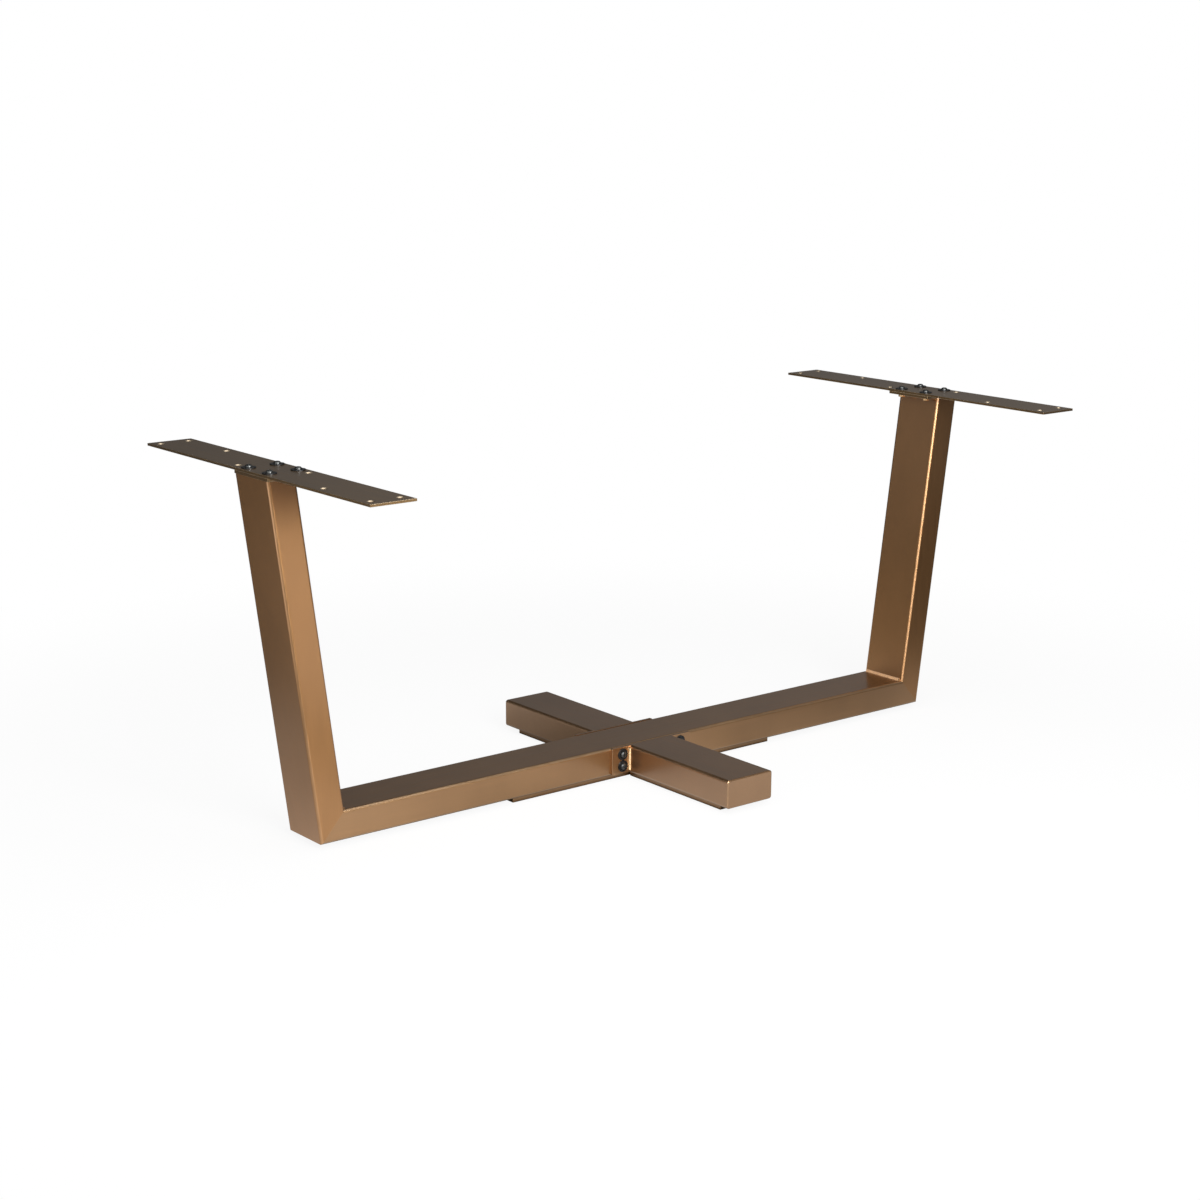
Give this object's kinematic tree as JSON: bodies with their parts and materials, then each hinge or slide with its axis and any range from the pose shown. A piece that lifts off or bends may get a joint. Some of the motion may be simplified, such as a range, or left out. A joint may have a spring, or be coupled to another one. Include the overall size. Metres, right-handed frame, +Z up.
{
  "type": "x shaped table leg",
  "caption": "Cross shaped steel underframe for a dining table, with flared tube legs on a long rail, bolted cross arms and flat screw plates.",
  "frame": {"origin": "on the floor below the middle of the rail, at the bottom centre of the bounding box", "axes": "+X along the rail, +Y along the cross arms and screw plates, +Z up"},
  "size_m": [1.8074, 0.8, 0.7414],
  "materials": {
    "frame_bronze": "satin, brushed bronze lacquer on steel tube",
    "plate_bronze": "satin bronze lacquer on flat steel",
    "strip_bronze": "satin bronze lacquer on flat steel bar",
    "weld_bronze": "lacquered weld bead",
    "black_steel": "black oxide on bolts and washers",
    "zinc_steel": "zinc plated rivet nuts"
  },
  "bodies": {
    "root": {"rail_tube": "frame_bronze", "rail_strip": "strip_bronze", "rail_strip_welds": "weld_bronze", "left_leg_tube": "frame_bronze", "left_corner_weld": "weld_bronze", "left_cap_plate": "plate_bronze", "left_cap_weld": "weld_bronze", "left_weld_nuts": "plate_bronze", "left_mounting_plate": "plate_bronze", "left_plate_washers": "black_steel", "left_plate_bolts": "black_steel", "right_leg_tube": "frame_bronze", "right_corner_weld": "weld_bronze", "right_cap_plate": "plate_bronze", "right_cap_weld": "weld_bronze", "right_weld_nuts": "plate_bronze", "right_mounting_plate": "plate_bronze", "right_plate_washers": "black_steel", "right_plate_bolts": "black_steel", "front_arm_tube": "frame_bronze", "front_arm_end_cap": "frame_bronze", "front_arm_flange": "frame_bronze", "front_flange_welds": "weld_bronze", "front_arm_strip": "strip_bronze", "front_arm_strip_welds": "weld_bronze", "front_arm_washers": "black_steel", "front_arm_bolts": "black_steel", "front_rivet_nuts": "zinc_steel", "back_arm_tube": "frame_bronze", "back_arm_end_cap": "frame_bronze", "back_arm_flange": "frame_bronze", "back_flange_welds": "weld_bronze", "back_arm_strip": "strip_bronze", "back_arm_strip_welds": "weld_bronze", "back_arm_washers": "black_steel", "back_arm_bolts": "black_steel", "back_rivet_nuts": "zinc_steel"}
  },
  "joints": []
}
